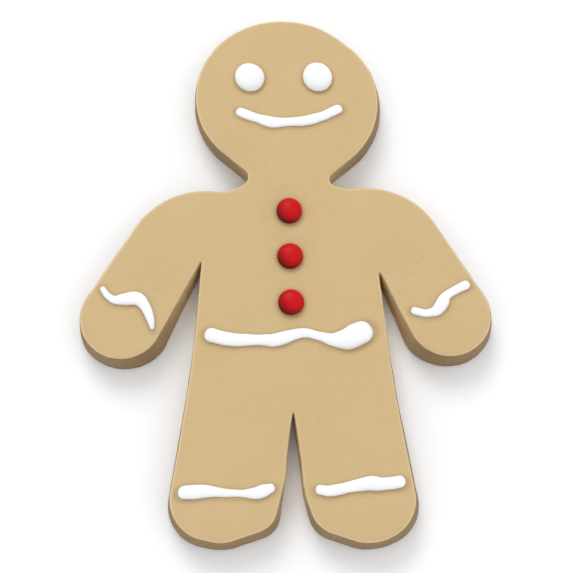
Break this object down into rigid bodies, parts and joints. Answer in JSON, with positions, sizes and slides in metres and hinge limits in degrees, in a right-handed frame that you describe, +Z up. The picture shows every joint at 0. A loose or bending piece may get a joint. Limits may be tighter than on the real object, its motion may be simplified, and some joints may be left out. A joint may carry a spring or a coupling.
{
  "type": "gingerbread man cookie",
  "caption": "Flat baked gingerbread figure with round head, spread arms and legs, a piped white icing face, cuffs and waist line, and red candy buttons down its chest.",
  "frame": {"origin": "on the surface the cookie lies on, under the middle of its outline's bounding box", "axes": "+Z up out of the iced face, +Y toward the head, +X toward the right-hand arm as seen from above with the head at the top"},
  "size_m": [0.1122, 0.1504, 0.0134],
  "materials": {
    "baked_gingerbread": null,
    "white_icing": "satin white royal icing",
    "red_candy": "satin red candy shell"
  },
  "bodies": {
    "root": {"cookie": "baked_gingerbread", "left_eye": "white_icing", "right_eye": "white_icing", "smile": "white_icing", "waist_line": "white_icing", "left_arm_cuff": "white_icing", "right_arm_cuff": "white_icing", "left_leg_cuff": "white_icing", "right_leg_cuff": "white_icing", "top_button": "red_candy", "middle_button": "red_candy", "bottom_button": "red_candy"}
  },
  "joints": []
}
